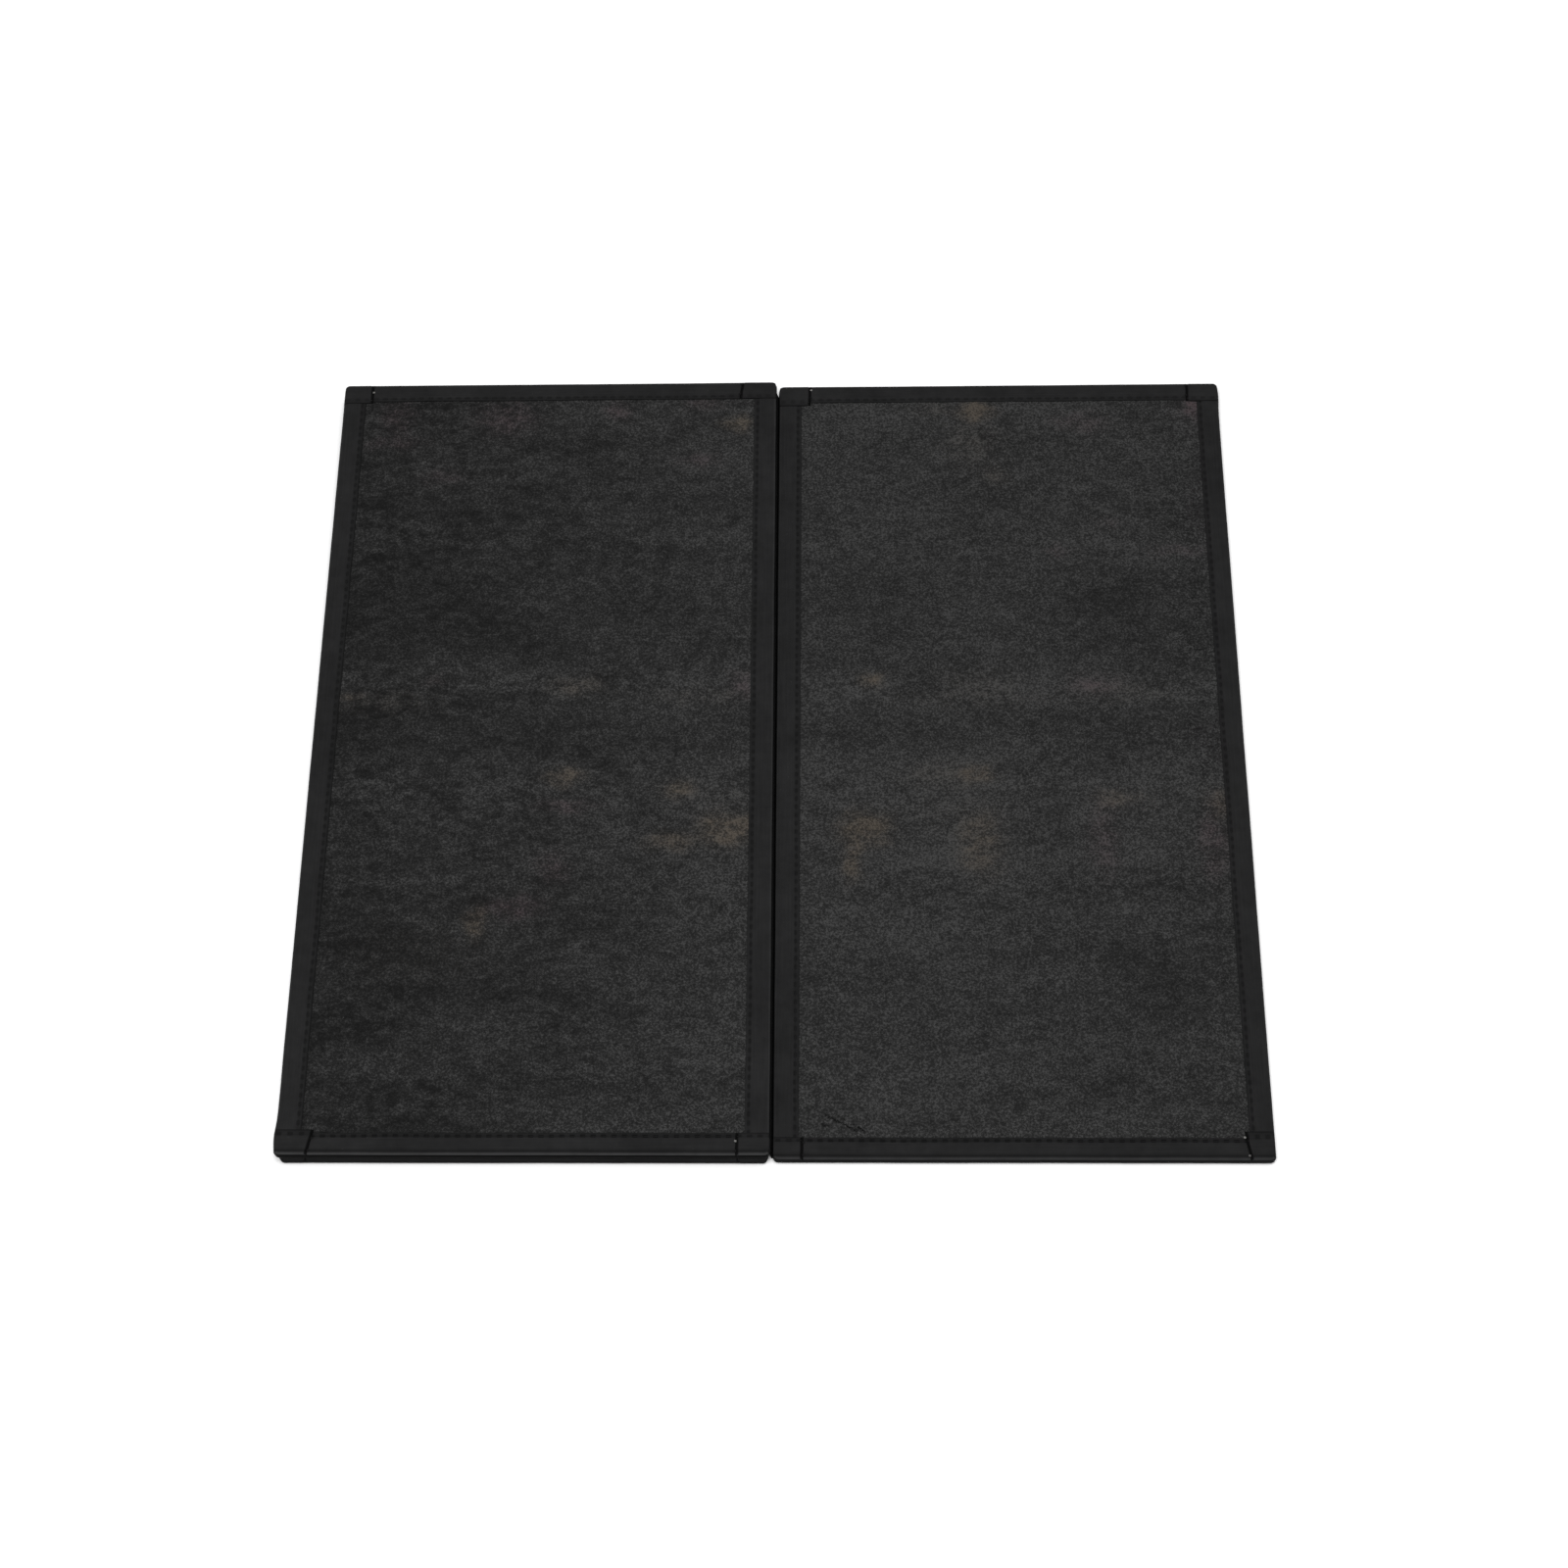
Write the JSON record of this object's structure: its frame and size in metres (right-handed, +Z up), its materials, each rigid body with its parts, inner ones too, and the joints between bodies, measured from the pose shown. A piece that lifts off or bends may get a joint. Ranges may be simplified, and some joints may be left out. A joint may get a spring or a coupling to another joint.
{
  "type": "folding gym mat",
  "caption": "Flat gym mat of thin foam panels with bound edges, joined by sewn fabric hinges and lying half folded, one panel turned under its neighbour.",
  "frame": {"origin": "middle of the footprint as it lies half folded, on the surface it rests on", "axes": "+X from the folded stack towards the flat end panel, +Y towards the back edge, +Z up"},
  "size_m": [0.6004, 0.6043, 0.013],
  "materials": {
    "back_cloth": "matte",
    "face_skin": "satin",
    "foam": "matte",
    "binding": "satin",
    "thread": "matte",
    "hinge_tape": "matte"
  },
  "bodies": {
    "middle_panel": {"fold_tape_upper": "hinge_tape", "middle_back_cloth": "back_cloth", "middle_binding_back": "binding", "middle_binding_fold_side": "binding", "middle_binding_front": "binding", "middle_binding_spine_side": "binding", "middle_corner_cap_back_fold_side": "binding", "middle_corner_cap_back_spine_side": "binding", "middle_corner_cap_front_fold_side": "binding", "middle_corner_cap_front_spine_side": "binding", "middle_corner_tacks": "thread", "middle_face_skin": "face_skin", "middle_foam_core": "foam", "middle_seam_back": "thread", "middle_seam_fold_side": "thread", "middle_seam_front": "thread", "middle_seam_spine_side": "thread"},
    "folded_panel": {"fold_tape_lower": "hinge_tape", "folded_back_cloth": "back_cloth", "folded_binding_back": "binding", "folded_binding_fold_side": "binding", "folded_binding_free_side": "binding", "folded_binding_front": "binding", "folded_corner_cap_back_fold_side": "binding", "folded_corner_cap_back_free_side": "binding", "folded_corner_cap_front_fold_side": "binding", "folded_corner_cap_front_free_side": "binding", "folded_corner_tacks": "thread", "folded_face_skin": "face_skin", "folded_foam_core": "foam", "folded_seam_back": "thread", "folded_seam_fold_side": "thread", "folded_seam_free_side": "thread", "folded_seam_front": "thread"},
    "spine": {"spine_tape": "hinge_tape"},
    "end_panel": {"end_back_cloth": "back_cloth", "end_binding_back": "binding", "end_binding_free_side": "binding", "end_binding_front": "binding", "end_binding_spine_side": "binding", "end_corner_cap_back_free_side": "binding", "end_corner_cap_back_spine_side": "binding", "end_corner_cap_front_free_side": "binding", "end_corner_cap_front_spine_side": "binding", "end_corner_tacks": "thread", "end_face_skin": "face_skin", "end_foam_core": "foam", "end_seam_back": "thread", "end_seam_free_side": "thread", "end_seam_front": "thread", "end_seam_spine_side": "thread"}
  },
  "joints": [
    {"name": "fold_hinge", "type": "hinge", "parent": "middle_panel", "child": "folded_panel", "pos_m": [-0.3005, 0, 0.0065], "axis": [0, 1, 0], "range_deg": [0, 180]},
    {"name": "spine_rise", "type": "slide", "parent": "middle_panel", "child": "spine", "axis": [0, 0, 1], "range_m": [0, 0.0068]},
    {"name": "spine_hinge", "type": "hinge", "parent": "spine", "child": "end_panel", "pos_m": [-0.00215, 0, -0.0003], "axis": [0, 1, 0], "range_deg": [0, 180]}
  ],
  "couplings": [
    {"joint": "spine_rise", "follows": "fold_hinge", "m_per_rad": 0.00216}
  ]
}
